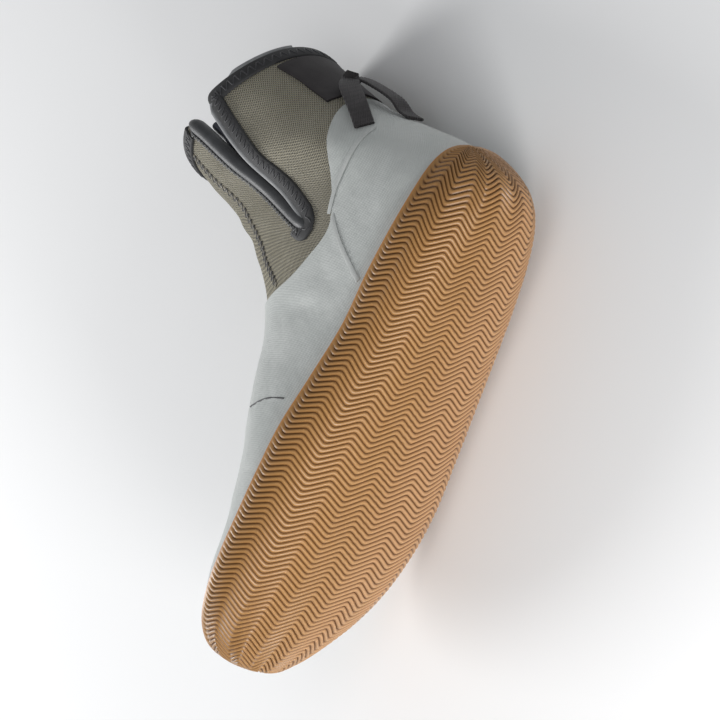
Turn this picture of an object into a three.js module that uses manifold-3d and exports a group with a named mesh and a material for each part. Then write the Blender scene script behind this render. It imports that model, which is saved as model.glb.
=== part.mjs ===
// Right wading boot: cupped rubber sole, knit neoprene upper with an inner side entry slit,
// coated fabric foot shell, bound edges, rolled lip, folded gusset, back tape, pull strap, insole.
// Millimetres. The shoe frame has X to the outer side, Y to the toe and Z up from the tread.
// At the end the boot is laid on its outer side, as a slack empty boot rests on a floor.
import * as THREE from 'three';
import * as BufferGeometryUtils from 'three/addons/utils/BufferGeometryUtils.js';
import Module from 'manifold-3d';

const wasm = await Module();
wasm.setup();

// Main sizes
const LENGTH = 300;
const BALL_WIDTH = 114;
const HEIGHT = 200;

// Walls, steps and gaps. The lip's tip is its share of width there, and its end the rate it grows.
const WALL = 3;
const GAP = 0.3;
const SHELL = 1.1;
const BINDING = 1.3;
const BINDING_WIDTH = 8;
const INSOLE = 4.5;
const TUCK = 7;
const TREAD_FLAT = 0.4;
const REST_FLAT = 0.7;
const LIP_WIDTH = 10;
const LIP_DEPTH = 8;
const LIP_SINK = 1;
const LIP_END = 12;
const LIP_TIP = 0.65;
const GUSSET_INSET = 6;
const GUSSET_THICKNESS = 1.2;
const TAPE_THICKNESS = 1;
const TAPE_FRONT = 0.16;
const STRAP_WIDTH = 11;
const STRAP_THICKNESS = 1.6;
const STRAP_CLEAR = 1.8;

// Facets, the shares where the shaft starts, and the distances under which points are one
const STATIONS = 26;
const AROUND = 26;
const SOLE_STATIONS = 34;
const SOLE_ACROSS = 14;
const COLLAR_STEPS = 8;
const SLIT_STEPS = 6;
const BOW_STEPS = 4;
const SHELL_STEPS = 14;
const STRAP_STEPS = 24;
const LIP_STEPS = 14;
const LIP_AROUND = 12;
const GUSSET_STEPS = 16;
const BED_ROWS = 14;
const HALVINGS = 30;
const SHAFT_FROM = 0.4;
const MERGE = 0.0001;
const SLIVER = 0.02;

// Reach of cutting blocks past the boot and the side of the shaft the slit stops at
const FAR = 600;
const MIDLINE = -12;

// Sole sections from heel to toe. Y and the widths at the rim are shares of the length and
// the ball width, the heights are shares of the boot height, square is the corner's exponent.
const SOLE = [
  { y: -0.002, bottom: 0.180, rim: 0.205, lateral: 0.050, medial: 0.020, square: 2.0 },
  { y: 0.004, bottom: 0.110, rim: 0.205, lateral: 0.145, medial: 0.090, square: 2.1 },
  { y: 0.018, bottom: 0.054, rim: 0.200, lateral: 0.230, medial: 0.155, square: 2.3 },
  { y: 0.045, bottom: 0.019, rim: 0.186, lateral: 0.305, medial: 0.222, square: 2.5 },
  { y: 0.090, bottom: 0.003, rim: 0.165, lateral: 0.362, medial: 0.287, square: 2.7 },
  { y: 0.160, bottom: 0.000, rim: 0.152, lateral: 0.405, medial: 0.340, square: 2.8 },
  { y: 0.250, bottom: 0.000, rim: 0.152, lateral: 0.438, medial: 0.365, square: 2.8 },
  { y: 0.350, bottom: 0.006, rim: 0.150, lateral: 0.462, medial: 0.380, square: 2.8 },
  { y: 0.450, bottom: 0.008, rim: 0.150, lateral: 0.482, medial: 0.432, square: 2.8 },
  { y: 0.550, bottom: 0.003, rim: 0.150, lateral: 0.495, medial: 0.488, square: 2.8 },
  { y: 0.640, bottom: 0.000, rim: 0.148, lateral: 0.500, medial: 0.508, square: 2.8 },
  { y: 0.720, bottom: 0.003, rim: 0.150, lateral: 0.480, medial: 0.512, square: 2.8 },
  { y: 0.800, bottom: 0.015, rim: 0.160, lateral: 0.440, medial: 0.500, square: 2.7 },
  { y: 0.870, bottom: 0.034, rim: 0.175, lateral: 0.372, medial: 0.465, square: 2.6 },
  { y: 0.930, bottom: 0.058, rim: 0.192, lateral: 0.278, medial: 0.400, square: 2.5 },
  { y: 0.973, bottom: 0.084, rim: 0.205, lateral: 0.190, medial: 0.310, square: 2.4 },
  { y: 0.998, bottom: 0.115, rim: 0.212, lateral: 0.100, medial: 0.212, square: 2.3 },
  { y: 1.008, bottom: 0.170, rim: 0.215, lateral: 0.010, medial: 0.120, square: 2.0 }
];

// Upper sections from toe to collar. Each lies in a plane from its low or rear point to its
// top or front point. Widths are shares of the ball width, wide is where the widest part is.
const UPPER = [
  {
    lowY: 0.994, lowZ: 0.180, topY: 0.994, topZ: 0.215,
    lateral: 0.01, medial: 0.12, crest: 0, wide: 0.5, low: 2, top: 2
  },
  {
    lowY: 0.987, lowZ: 0.140, topY: 0.987, topZ: 0.248,
    lateral: 0.08, medial: 0.19, crest: 0, wide: 0.5, low: 2.2, top: 2
  },
  {
    lowY: 0.963, lowZ: 0.110, topY: 0.963, topZ: 0.274,
    lateral: 0.17, medial: 0.29, crest: 0, wide: 0.48, low: 2.3, top: 1.9
  },
  {
    lowY: 0.918, lowZ: 0.087, topY: 0.918, topZ: 0.290,
    lateral: 0.27, medial: 0.38, crest: 0, wide: 0.46, low: 2.4, top: 1.8
  },
  {
    lowY: 0.850, lowZ: 0.065, topY: 0.850, topZ: 0.304,
    lateral: 0.37, medial: 0.445, crest: -0.01, wide: 0.42, low: 2.6, top: 1.7
  },
  {
    lowY: 0.770, lowZ: 0.050, topY: 0.770, topZ: 0.332,
    lateral: 0.43, medial: 0.475, crest: -0.02, wide: 0.37, low: 2.7, top: 1.6
  },
  {
    lowY: 0.690, lowZ: 0.045, topY: 0.690, topZ: 0.380,
    lateral: 0.465, medial: 0.482, crest: -0.04, wide: 0.31, low: 2.7, top: 1.6
  },
  {
    lowY: 0.600, lowZ: 0.045, topY: 0.615, topZ: 0.448,
    lateral: 0.470, medial: 0.468, crest: -0.06, wide: 0.28, low: 2.7, top: 1.65
  },
  {
    lowY: 0.510, lowZ: 0.050, topY: 0.550, topZ: 0.518,
    lateral: 0.460, medial: 0.425, crest: -0.07, wide: 0.25, low: 2.6, top: 1.7
  },
  {
    lowY: 0.420, lowZ: 0.050, topY: 0.500, topZ: 0.570,
    lateral: 0.445, medial: 0.378, crest: -0.07, wide: 0.23, low: 2.5, top: 1.75
  },
  {
    lowY: 0.330, lowZ: 0.048, topY: 0.463, topZ: 0.635,
    lateral: 0.425, medial: 0.348, crest: -0.05, wide: 0.25, low: 2.4, top: 1.8
  },
  {
    lowY: 0.240, lowZ: 0.045, topY: 0.430, topZ: 0.700,
    lateral: 0.400, medial: 0.335, crest: -0.04, wide: 0.28, low: 2.4, top: 1.85
  },
  {
    lowY: 0.150, lowZ: 0.045, topY: 0.411, topZ: 0.765,
    lateral: 0.385, medial: 0.325, crest: -0.03, wide: 0.32, low: 2.6, top: 1.9
  },
  {
    lowY: 0.080, lowZ: 0.055, topY: 0.394, topZ: 0.825,
    lateral: 0.375, medial: 0.312, crest: -0.02, wide: 0.37, low: 2.8, top: 1.9
  },
  {
    lowY: 0.035, lowZ: 0.095, topY: 0.388, topZ: 0.875,
    lateral: 0.355, medial: 0.302, crest: -0.01, wide: 0.42, low: 2.8, top: 1.95
  },
  {
    lowY: 0.016, lowZ: 0.180, topY: 0.378, topZ: 0.920,
    lateral: 0.345, medial: 0.300, crest: 0, wide: 0.46, low: 2.6, top: 2
  },
  {
    lowY: 0.018, lowZ: 0.300, topY: 0.370, topZ: 0.960,
    lateral: 0.335, medial: 0.315, crest: 0, wide: 0.48, low: 2.3, top: 2
  },
  {
    lowY: 0.034, lowZ: 0.430, topY: 0.362, topZ: 1.000,
    lateral: 0.330, medial: 0.340, crest: 0, wide: 0.5, low: 2, top: 2
  },
  {
    lowY: 0.052, lowZ: 0.570, topY: 0.355, topZ: 1.040,
    lateral: 0.330, medial: 0.345, crest: 0, wide: 0.5, low: 2, top: 2
  },
  {
    lowY: 0.055, lowZ: 0.700, topY: 0.350, topZ: 1.080,
    lateral: 0.330, medial: 0.345, crest: 0, wide: 0.5, low: 2, top: 2
  },
  {
    lowY: 0.054, lowZ: 0.840, topY: 0.345, topZ: 1.130,
    lateral: 0.330, medial: 0.345, crest: 0, wide: 0.5, low: 2, top: 2
  },
  {
    lowY: 0.053, lowZ: 1.040, topY: 0.338, topZ: 1.220,
    lateral: 0.330, medial: 0.345, crest: 0, wide: 0.5, low: 2, top: 2
  }
];

// Collar line in the side view from behind the heel to the front
const COLLAR = [
  { y: -0.200, z: 0.930 },
  { y: 0.000, z: 0.935 },
  { y: 0.080, z: 0.947 },
  { y: 0.190, z: 1.012 },
  { y: 0.275, z: 1.070 },
  { y: 0.360, z: 1.100 },
  { y: 0.500, z: 1.120 }
];

// Slit edges from above the collar to the slit's foot
const SLIT = [
  { rear: 0.183, front: 0.262, z: 1.10 },
  { rear: 0.190, front: 0.258, z: 1.015 },
  { rear: 0.212, front: 0.262, z: 0.885 },
  { rear: 0.231, front: 0.267, z: 0.743 },
  { rear: 0.241, front: 0.271, z: 0.603 },
  { rear: 0.256, front: 0.270, z: 0.490 }
];

// Foot shell's upper edge in the side view from the back seam over the instep
const SHELL_EDGE = [
  { y: -0.050, z: 0.665 },
  { y: 0.045, z: 0.645 },
  { y: 0.100, z: 0.565 },
  { y: 0.165, z: 0.460 },
  { y: 0.230, z: 0.385 },
  { y: 0.300, z: 0.410 },
  { y: 0.360, z: 0.460 },
  { y: 0.440, z: 0.570 },
  { y: 0.520, z: 0.690 }
];

// Rolled lip's middle line down the slit's front edge
const LIP = [
  { y: 0.252, z: 1.055 },
  { y: 0.251, z: 0.980 },
  { y: 0.255, z: 0.870 },
  { y: 0.261, z: 0.740 },
  { y: 0.267, z: 0.600 },
  { y: 0.268, z: 0.520 },
  { y: 0.264, z: 0.478 }
];

// Gusset's edges and the depth of its folds, from its foot to its top
const GUSSET = [
  { z: 0.470, rear: 0.235, front: 0.295, fold: 0.5 },
  { z: 0.560, rear: 0.220, front: 0.300, fold: 2 },
  { z: 0.650, rear: 0.210, front: 0.302, fold: 4 },
  { z: 0.740, rear: 0.200, front: 0.302, fold: 7 },
  { z: 0.830, rear: 0.188, front: 0.302, fold: 10 },
  { z: 0.920, rear: 0.176, front: 0.302, fold: 12 },
  { z: 0.990, rear: 0.165, front: 0.302, fold: 13 }
];

// Back tape's outline seen from behind
const TAPE = [
  { x: -0.190, z: 0.670 },
  { x: 0.190, z: 0.670 },
  { x: 0.200, z: 0.800 },
  { x: 0.215, z: 0.892 },
  { x: -0.215, z: 0.892 },
  { x: -0.200, z: 0.800 }
];

// Pull strap's middle line with the direction of its width
const STRAP = [
  { x: -0.226, y: 0.062, z: 0.478, wx: 0.72, wy: -0.60, wz: 0.20 },
  { x: -0.190, y: 0.046, z: 0.560, wx: 0.75, wy: -0.60, wz: 0.20 },
  { x: -0.125, y: 0.038, z: 0.660, wx: 0.85, wy: -0.40, wz: 0.25 },
  { x: -0.055, y: 0.036, z: 0.705, wx: 0.90, wy: -0.10, wz: 0.35 },
  { x: -0.020, y: 0.028, z: 0.680, wx: 0.95, wy: 0.00, wz: 0.25 },
  { x: 0.000, y: 0.024, z: 0.620, wx: 1.00, wy: 0.00, wz: 0.10 },
  { x: 0.010, y: 0.023, z: 0.555, wx: 1.00, wy: 0.00, wz: 0.05 },
  { x: 0.015, y: 0.031, z: 0.505, wx: 1.00, wy: 0.00, wz: 0.00 },
  { x: 0.015, y: 0.029, z: 0.460, wx: 1.00, wy: 0.00, wz: 0.00 }
];

// The way down in the shoe frame, with the boot lying on its outer side
const DOWN = { x: 0.9963, y: -0.0554, z: 0.0662 };

// Catmull-Rom reading of one table column at t from 0 to 1
function column(rows, key, t) {
  const at = t * (rows.length - 1);
  const i = Math.min(Math.floor(at), rows.length - 2);
  const f = at - i;
  const value = (k) => rows[Math.min(Math.max(k, 0), rows.length - 1)][key];
  const [a, b, c, d] = [value(i - 1), value(i), value(i + 1), value(i + 2)];
  const bend = 2 * a - 5 * b + 4 * c - d;
  const twist = 3 * (b - c) + d - a;
  return b + (f * (c - a + f * (bend + f * twist))) / 2;
}

const power = (value, exponent) => Math.sign(value) * Math.abs(value) ** exponent;

function upperPoint(t, turn) {
  const read = (key) => column(UPPER, key, t);
  const [lateral, medial] = [read('lateral') * BALL_WIDTH, read('medial') * BALL_WIDTH];
  const half = (lateral + medial) / 2;
  const wide = read('wide');
  const up = Math.cos(turn) >= 0;
  const round = 2 / (up ? read('top') : read('low'));
  const share = wide + (up ? 1 - wide : wide) * power(Math.cos(turn), round);
  const lean = read('crest') * BALL_WIDTH * Math.max(0, (share - wide) / (1 - wide));
  const y = THREE.MathUtils.lerp(read('lowY'), read('topY'), share) * LENGTH;
  const z = THREE.MathUtils.lerp(read('lowZ'), read('topZ'), share) * HEIGHT;
  return new THREE.Vector3((lateral - medial) / 2 + half * power(Math.sin(turn), round) + lean, y, z);
}

const upperGrid = [];
for (let i = 0; i <= STATIONS; i += 1) {
  const ring = [];
  for (let k = 0; k < AROUND; k += 1) {
    ring.push(upperPoint(i / STATIONS, (2 * Math.PI * k) / AROUND));
  }
  upperGrid.push(ring);
}

function gridNormal(i, k) {
  const ring = (n) => upperGrid[Math.min(Math.max(n, 0), STATIONS)];
  const along = ring(i + 1)[k].clone().sub(ring(i - 1)[k]);
  const next = upperGrid[i][(k + 1) % AROUND];
  const last = upperGrid[i][(k + AROUND - 1) % AROUND];
  return along.cross(next.clone().sub(last)).normalize();
}

// Closed mesh over rings of points, both ends closed by a fan
function loft(rings) {
  const count = rings[0].length;
  const points = rings.flat();
  const faces = [];
  for (let i = 0; i + 1 < rings.length; i += 1) {
    for (let k = 0; k < count; k += 1) {
      const next = (k + 1) % count;
      const [a, b] = [i * count + k, i * count + next];
      const [c, d] = [a + count, b + count];
      faces.push(a, d, b, a, c, d);
    }
  }
  const middle = (ring) => {
    return ring.reduce((sum, p) => sum.add(p), new THREE.Vector3()).divideScalar(count);
  };
  const first = points.push(middle(rings[0])) - 1;
  const final = points.push(middle(rings[rings.length - 1])) - 1;
  const start = (rings.length - 1) * count;
  for (let k = 0; k < count; k += 1) {
    const next = (k + 1) % count;
    faces.push(first, k, next);
    faces.push(final, start + next, start + k);
  }
  const geometry = new THREE.BufferGeometry().setFromPoints(points);
  geometry.setIndex(faces);
  return geometry;
}

function solid(geometry) {
  const bare = geometry.clone();
  bare.deleteAttribute('normal');
  bare.deleteAttribute('uv');
  const merged = BufferGeometryUtils.mergeVertices(bare, MERGE);
  const mesh = new wasm.Mesh({
    numProp: 3,
    vertProperties: Float32Array.from(merged.attributes.position.array),
    triVerts: Uint32Array.from(merged.index.array)
  });
  mesh.merge();
  return new wasm.Manifold(mesh);
}

// The geometry without the slivers that a cut leaves
function joined(geometry) {
  const merged = BufferGeometryUtils.mergeVertices(geometry, SLIVER);
  const index = merged.index.array;
  const kept = [];
  for (let i = 0; i < index.length; i += 3) {
    const [a, b, c] = [index[i], index[i + 1], index[i + 2]];
    if (a !== b && b !== c && c !== a) kept.push(a, b, c);
  }
  merged.setIndex(kept);
  return merged;
}

// The upper's outer face moved outward by an offset, as a closed solid
function upperForm(offset) {
  const rings = upperGrid.map((ring, i) => ring.map((p, k) => {
    return p.clone().addScaledVector(gridNormal(i, k), offset);
  }));
  return solid(loft(rings));
}

// The sole's outer face as a closed solid, lowered by a drop
function soleForm(drop) {
  const rings = [];
  for (let i = 0; i <= SOLE_STATIONS; i += 1) {
    const read = (key) => column(SOLE, key, i / SOLE_STATIONS);
    const [lateral, medial] = [read('lateral') * BALL_WIDTH, read('medial') * BALL_WIDTH];
    const [middle, half] = [(lateral - medial) / 2, (lateral + medial) / 2];
    const [bottom, rim] = [read('bottom') * HEIGHT - drop, read('rim') * HEIGHT - drop];
    const round = 2 / read('square');
    const ring = [];
    for (let k = 0; k <= SOLE_ACROSS; k += 1) {
      const turn = Math.PI * (k / SOLE_ACROSS - 0.5);
      const x = middle + half * power(Math.sin(turn), round);
      const z = rim - (rim - bottom) * power(Math.cos(turn), round);
      ring.push(new THREE.Vector3(x, read('y') * LENGTH, z));
    }
    rings.push(ring);
  }
  return solid(loft(rings));
}

// Where the upper's outer face stands at a height and a distance from the heel. The side is
// 1 for the outer side and -1 for the inner side.
function faceX(y, z, side) {
  const across = (t) => {
    const read = (key) => column(UPPER, key, t);
    const run = [read('topY') - read('lowY'), read('topZ') - read('lowZ')];
    const to = [y - read('lowY') * LENGTH, z - read('lowZ') * HEIGHT];
    return run[0] * LENGTH * to[1] - run[1] * HEIGHT * to[0];
  };
  let [low, high] = [SHAFT_FROM, 1];
  for (let i = 0; i < HALVINGS; i += 1) {
    const middle = (low + high) / 2;
    if (across(middle) > 0) low = middle;
    else high = middle;
  }
  const read = (key) => column(UPPER, key, low);
  const share = (y - read('lowY') * LENGTH) / ((read('topY') - read('lowY')) * LENGTH);
  const wide = read('wide');
  const up = share >= wide;
  const reach = THREE.MathUtils.clamp(up ? (share - wide) / (1 - wide) : (wide - share) / wide, 0, 1);
  const turn = Math.acos(power(reach, (up ? read('top') : read('low')) / 2) * (up ? 1 : -1));
  return upperPoint(low, side * turn).x;
}

// Solid over a flat shape drawn in the side view, Y to the right and Z up, between two X
function sideBlock(points, fromX, toX) {
  const shape = new THREE.Shape(points.map(([y, z]) => new THREE.Vector2(y, z)));
  const block = new THREE.ExtrudeGeometry(shape, { depth: toX - fromX, bevelEnabled: false });
  const turn = new THREE.Matrix4().set(0, 0, 1, fromX, 1, 0, 0, 0, 0, 1, 0, 0, 0, 0, 0, 1);
  return solid(block.applyMatrix4(turn));
}

// Solid over a flat shape drawn from behind, X to the right and Z up, between two Y
function backBlock(points, fromY, toY) {
  const shape = new THREE.Shape(points.map(([x, z]) => new THREE.Vector2(x, z)));
  const block = new THREE.ExtrudeGeometry(shape, { depth: toY - fromY, bevelEnabled: false });
  const turn = new THREE.Matrix4().set(1, 0, 0, 0, 0, 0, -1, toY, 0, 1, 0, 0, 0, 0, 0, 1);
  return solid(block.applyMatrix4(turn));
}

// Points of a table row by row as a smooth curve in the side view, in millimetres
function sideCurve(rows, count) {
  const knots = rows.map(({ y, z }) => new THREE.Vector2(y * LENGTH, z * HEIGHT));
  return new THREE.SplineCurve(knots).getPoints(count).map((p) => [p.x, p.y]);
}

// The opening as cut in the side view. The drop lowers the collar line and widens the slit.
function openingCut(drop) {
  const collar = sideCurve(COLLAR, COLLAR_STEPS).map(([y, z]) => [y, z - drop]);
  const above = [[FAR, FAR], [-FAR, FAR]];
  const lid = sideBlock([...collar, ...above], -FAR, FAR);
  const rear = sideCurve(SLIT.map(({ rear: y, z }) => ({ y, z })), SLIT_STEPS);
  const front = sideCurve(SLIT.map(({ front: y, z }) => ({ y, z })), SLIT_STEPS);
  const end = rear[rear.length - 1];
  const foot = front[front.length - 1];
  const [middle, radius] = [(end[0] + foot[0]) / 2, (foot[0] - end[0]) / 2 + drop];
  const bow = [];
  for (let i = 1; i < BOW_STEPS; i += 1) {
    const turn = (Math.PI * i) / BOW_STEPS;
    bow.push([middle - radius * Math.cos(turn), end[1] - radius * Math.sin(turn)]);
  }
  const back = rear.map(([y, z]) => [y - drop, z]);
  const fore = front.map(([y, z]) => [y + drop, z]).reverse();
  const slit = sideBlock([...back, ...bow, ...fore], -FAR, MIDLINE);
  return lid.add(slit);
}

// Oval tube along a path, its wider axis in the side view and rounded at both ends
function tubeBody(path, wide, deep) {
  const curve = new THREE.CatmullRomCurve3(path.map(({ x, y, z }) => new THREE.Vector3(x, y, z)));
  const rings = [];
  for (let i = 0; i <= LIP_STEPS; i += 1) {
    const share = i / LIP_STEPS;
    const at = curve.getPoint(share);
    const along = curve.getTangent(share);
    const out = new THREE.Vector3(1, 0, 0).addScaledVector(along, -along.x).normalize();
    const side = along.clone().cross(out);
    const near = Math.min(1, Math.min(share, 1 - share) * LIP_END + LIP_TIP);
    const ring = [];
    for (let k = 0; k < LIP_AROUND; k += 1) {
      const turn = (2 * Math.PI * k) / LIP_AROUND;
      ring.push(at.clone()
        .addScaledVector(out, deep * near * Math.sin(turn))
        .addScaledVector(side, wide * near * Math.cos(turn)));
    }
    rings.push(ring);
  }
  return solid(loft(rings));
}

// Ring loft of a flat strap along a path, with its width and its thickness square to it
function strapBody(path, width, thickness) {
  const curve = new THREE.CatmullRomCurve3(path.map(({ x, y, z }) => new THREE.Vector3(x, y, z)));
  const across = new THREE.CatmullRomCurve3(path.map(({ wx, wy, wz }) => new THREE.Vector3(wx, wy, wz)));
  const rings = [];
  for (let i = 0; i <= STRAP_STEPS; i += 1) {
    const at = curve.getPoint(i / STRAP_STEPS);
    const along = curve.getTangent(i / STRAP_STEPS);
    const wide = across.getPoint(i / STRAP_STEPS);
    wide.addScaledVector(along, -wide.dot(along)).normalize();
    const thick = along.clone().cross(wide);
    rings.push([[1, 1], [1, -1], [-1, -1], [-1, 1]].map(([w, h]) => at.clone()
      .addScaledVector(wide, (w * width) / 2)
      .addScaledVector(thick, (h * thickness) / 2)));
  }
  return solid(loft(rings));
}

const outer = upperForm(0);
const inner = upperForm(-WALL);
const cleared = upperForm(GAP);
const sole = soleForm(0);

// Everything under the line of the upper's underside, raised by a height
function bedBlock(height) {
  const bed = UPPER.slice(0, BED_ROWS).map(({ lowY, lowZ }) => [lowY * LENGTH, lowZ * HEIGHT + height]);
  const [tip, heel] = [bed[0][1], bed[bed.length - 1][1]];
  return sideBlock([[-FAR, -FAR], [FAR, -FAR], [FAR, tip], ...bed, [-FAR, heel]], -FAR, FAR);
}

// Upper: one wall, open at the collar, at the slit and underneath
const upper = outer.subtract(inner).subtract(openingCut(0)).subtract(bedBlock(WALL + 3 * GAP));

// The upper's wall with a gap all round, for what wraps its edges
const wall = cleared.subtract(upperForm(-WALL - GAP));

// Foot shell: a coated layer over the foot, its lower edge tucked into the sole's cup
const shellLine = sideCurve(SHELL_EDGE, SHELL_STEPS);
const [shellBack, shellFront] = [shellLine[0][1], shellLine[SHELL_STEPS][1]];
const shellBase = [[-FAR, -FAR], [FAR, -FAR], [FAR, shellFront]];
const shellZone = sideBlock([...shellBase, ...shellLine.reverse(), [-FAR, shellBack]], -FAR, FAR);
const layer = upperForm(GAP + SHELL).subtract(cleared).intersect(shellZone);
const footShell = layer.subtract(soleForm(TUCK));

// Outsole: the cup, hollowed for the upper and stepped for the shell's edge
const step = upperForm(2 * GAP + SHELL).subtract(soleForm(TUCK + GAP));
const tread = sideBlock([[-FAR, -FAR], [FAR, -FAR], [FAR, TREAD_FLAT], [-FAR, TREAD_FLAT]], -FAR, FAR);
const outsole = sole.subtract(cleared).subtract(step).subtract(tread);

// Insole: fills the opening underneath and lies over the upper's turned edge
const edge = wall.subtract(bedBlock(WALL + 2 * GAP));
const insole = outer.intersect(bedBlock(WALL + 2 * GAP + INSOLE)).subtract(edge);

// Rolled lip along the slit's front edge
const lipPath = LIP.map(({ y, z }) => {
  const [atY, atZ] = [y * LENGTH, z * HEIGHT];
  const x = faceX(atY, atZ, -1) + LIP_SINK;
  return { x, y: atY, z: atZ };
});
const lipForm = (grow) => tubeBody(lipPath, LIP_WIDTH / 2 + grow, LIP_DEPTH / 2 + grow);
const lip = lipForm(0).subtract(wall.subtract(openingCut(-GAP)));

// Binding folded over the collar, the slit's rear edge and its foot
const folded = upperForm(GAP + BINDING).subtract(upperForm(-WALL - GAP - BINDING));
const band = folded.intersect(openingCut(BINDING_WIDTH)).subtract(openingCut(-GAP - BINDING));
const binding = band.subtract(wall.subtract(openingCut(-GAP))).subtract(lipForm(GAP));

// Gusset: a thin sheet folded into the shaft behind the slit
const sheetRings = GUSSET.map(({ z, rear, front, fold }) => {
  const rows = [[], []];
  for (let i = 0; i <= GUSSET_STEPS; i += 1) {
    const share = i / GUSSET_STEPS;
    const y = THREE.MathUtils.lerp(rear, front, share) * LENGTH;
    const depth = fold * Math.sin(2 * Math.PI * share) ** 2;
    const x = faceX(y, z * HEIGHT, -1) + GUSSET_INSET + depth;
    rows[0].push(new THREE.Vector3(x, y, z * HEIGHT));
    rows[1].unshift(new THREE.Vector3(x + GUSSET_THICKNESS, y, z * HEIGHT));
  }
  return rows.flat();
});
const gusset = solid(loft(sheetRings)).intersect(upperForm(-WALL - 2 * GAP - BINDING));

// Back tape over the rear seam between the collar's binding and the shell
const tapeZone = backBlock(TAPE.map(({ x, z }) => [x * BALL_WIDTH, z * HEIGHT]), -FAR, TAPE_FRONT * LENGTH);
const tape = upperForm(GAP + TAPE_THICKNESS).subtract(cleared).intersect(tapeZone);

// Pull strap: from the inner side of the heel up over the back and down clear of it
const strapPath = STRAP.map(({ x, y, z, wx, wy, wz }) => {
  return { x: x * BALL_WIDTH, y: y * LENGTH, z: z * HEIGHT, wx, wy, wz };
});
const keep = upperForm(STRAP_CLEAR);
const strap = strapBody(strapPath, STRAP_WIDTH, STRAP_THICKNESS).subtract(keep);

const NODES = {
  outsole,
  insole,
  upper,
  foot_shell: footShell,
  binding,
  lip_roll: lip,
  gusset,
  back_tape: tape,
  pull_strap: strap
};

const LOOKS = {
  outsole: { color: 0xa9825a, roughness: 0.55 },
  upper: { color: 0x8f8873, roughness: 0.9 },
  insole: { color: 0x2c2d30, roughness: 0.9 },
  foot_shell: { color: 0xaab0ae, roughness: 0.6 },
  binding: { color: 0x3a3a3c, roughness: 0.7 },
  lip_roll: { color: 0x4a4b4e, roughness: 0.6 },
  gusset: { color: 0x1d2433, roughness: 0.4 },
  back_tape: { color: 0x3b3536, roughness: 0.6 },
  pull_strap: { color: 0x3d3637, roughness: 0.7 }
};

// The floor's plane in the shoe frame: square to the way down, a flat's depth into the boot
const down = new THREE.Vector3(DOWN.x, DOWN.y, DOWN.z).normalize();
let reach = -FAR;
for (const body of Object.values(NODES)) {
  const { vertProperties } = body.getMesh();
  for (let i = 0; i < vertProperties.length; i += 3) {
    reach = Math.max(reach, down.dot(new THREE.Vector3().fromArray(vertProperties, i)));
  }
}
reach -= REST_FLAT;
const ground = new THREE.BoxGeometry(FAR, FAR, FAR);
ground.translate(0, 0, -FAR / 2);

// Axes of the lying boot: up away from the floor, Y to the toe
const up = down.clone().negate();
const toe = new THREE.Vector3(0, 1, 0).addScaledVector(up, -up.y).normalize();
const across = toe.clone().cross(up);
const stand = new THREE.Matrix4().makeBasis(across, toe, up);
stand.setPosition(down.clone().multiplyScalar(reach));
const floor = solid(ground.applyMatrix4(stand));
const lay = stand.clone().invert();

const boot = new THREE.Group();
boot.name = 'wading_boot';
for (const [name, body] of Object.entries(NODES)) {
  const mesh = body.subtract(floor).getMesh();
  const geometry = new THREE.BufferGeometry();
  geometry.setAttribute('position', new THREE.BufferAttribute(mesh.vertProperties, 3));
  geometry.setIndex(new THREE.BufferAttribute(mesh.triVerts, 1));
  geometry.applyMatrix4(lay);
  const { color, roughness } = LOOKS[name];
  const material = new THREE.MeshStandardMaterial({ color, roughness, metalness: 0 });
  const piece = new THREE.Mesh(joined(geometry), material);
  piece.name = name;
  boot.add(piece);
}

// The middle of the boot's footprint is the origin
const size = new THREE.Box3().setFromObject(boot);
for (const piece of boot.children) {
  piece.geometry.translate(-(size.min.x + size.max.x) / 2, -(size.min.y + size.max.y) / 2, -size.min.z);
}

export default boot;
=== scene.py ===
import math

import bmesh
import bpy
import numpy as np
from mathutils import Matrix, Vector
from mathutils.bvhtree import BVHTree


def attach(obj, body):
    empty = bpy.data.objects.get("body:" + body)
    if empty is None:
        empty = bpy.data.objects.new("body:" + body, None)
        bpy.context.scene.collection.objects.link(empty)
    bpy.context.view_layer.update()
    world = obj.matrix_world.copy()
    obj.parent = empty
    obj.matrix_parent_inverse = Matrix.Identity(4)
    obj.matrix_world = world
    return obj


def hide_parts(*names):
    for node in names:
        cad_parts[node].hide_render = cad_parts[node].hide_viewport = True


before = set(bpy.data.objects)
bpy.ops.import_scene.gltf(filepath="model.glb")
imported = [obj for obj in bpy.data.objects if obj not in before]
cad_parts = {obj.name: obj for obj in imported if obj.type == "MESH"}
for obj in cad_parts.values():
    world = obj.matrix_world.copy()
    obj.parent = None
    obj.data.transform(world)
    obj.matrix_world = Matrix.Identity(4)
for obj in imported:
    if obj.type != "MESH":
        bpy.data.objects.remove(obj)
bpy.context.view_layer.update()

# Main sizes, walls and steps in millimetres
LENGTH = 300
BALL_WIDTH = 114
HEIGHT = 200
WALL = 3
GAP = 0.3
SHELL = 1.1
TUCK = 7
BED_RISE = 3.9
BINDING_WIDTH = 8
BINDING = 1.3
FAR = 600
MIDLINE = -12
FIRST_SECTION = 0.05
BED_ROWS = 14

# The lying boot: the way down in the shoe frame and where the shoe's origin is in the row frame
DOWN = np.array([0.9963, -0.0554, 0.0662])
SHOE_ORIGIN = np.array([-110.0245, -150.7892, 48.5232])
FLOOR_CLEAR = 0.02

# The camera in the shoe frame: turns about the toe's line and across it, the roll, and the view's
# width and middle in millimetres
VIEW_TURN = math.radians(41.291)
VIEW_PITCH = math.radians(15.508)
VIEW_ROLL = math.radians(23.317)
VIEW_WIDTH = 372.9
VIEW_RIGHT = -79.26
VIEW_DOWN = 91.71
VIEW_DISTANCE = 9000
VIEW_DEPTH = -80
SENSOR = 36


def table(names, *rows):
    values = np.array(rows, float)
    return {name: values[:, i] for i, name in enumerate(names.split())}


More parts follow.
